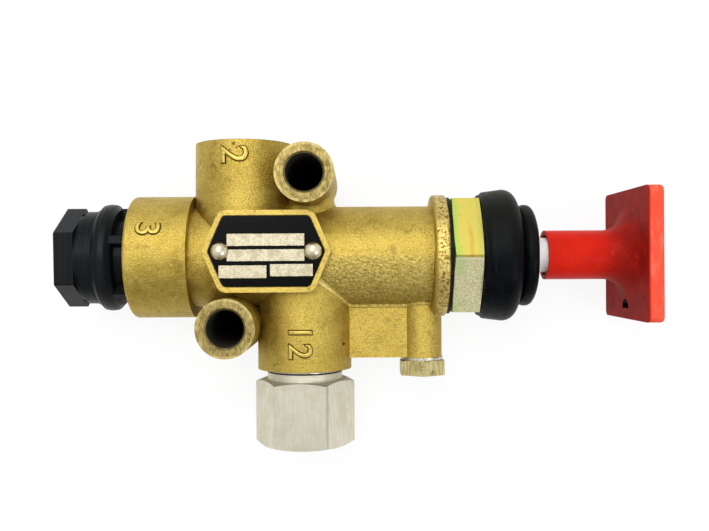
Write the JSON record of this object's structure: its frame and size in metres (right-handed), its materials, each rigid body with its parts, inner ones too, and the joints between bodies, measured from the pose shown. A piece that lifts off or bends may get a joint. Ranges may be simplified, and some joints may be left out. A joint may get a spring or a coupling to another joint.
{
  "type": "release valve",
  "caption": "Push-pull release valve for an air brake line: cast brass body with threaded ports, mounting bosses, rubber boot and square red pull knob.",
  "frame": {"origin": "on the spool's axis, at the flange face that seats against the panel", "axes": "+X along the spool towards the knob, +Y towards the upper port, +Z towards the nameplate's front"},
  "size_m": [0.1405, 0.0729, 0.0345],
  "materials": {
    "cast_brass": "satin, as cast",
    "turned_brass": "turned",
    "black_plate": "gloss",
    "nickel": "polished",
    "black_plastic": "moulded",
    "aluminium": "satin",
    "tin": "bright",
    "seal_rubber": "matt",
    "boot_rubber": "satin",
    "yellow_zinc": "yellow passivated",
    "spring_steel": "phosphated",
    "bright_rod": "ground",
    "red_plastic": "moulded"
  },
  "bodies": {
    "root": {"housing": "cast_brass", "nameplate": "black_plate", "plate_rivet_left": "nickel", "plate_rivet_right": "nickel", "vent_insert": "black_plastic", "port_adapter": "aluminium", "adapter_ring": "aluminium", "adapter_o_ring": "seal_rubber", "test_plug": "turned_brass", "test_plug_washer": "tin", "panel_washer": "black_plastic", "panel_nut": "yellow_zinc", "rubber_boot": "boot_rubber", "guide_bush": "turned_brass", "bush_seal": "seal_rubber", "rod_seal": "seal_rubber", "rod_wiper": "seal_rubber", "circlip": "spring_steel"},
    "plunger": {"spool_rod": "bright_rod", "rear_spool_seal": "seal_rubber", "front_spool_seal": "seal_rubber", "pull_knob": "red_plastic"}
  },
  "joints": [
    {"name": "plunger_slide", "type": "slide", "parent": "root", "child": "plunger", "axis": [1, 0, 0], "range_m": [0, 0.0105], "deforming": ["rubber_boot"]}
  ]
}
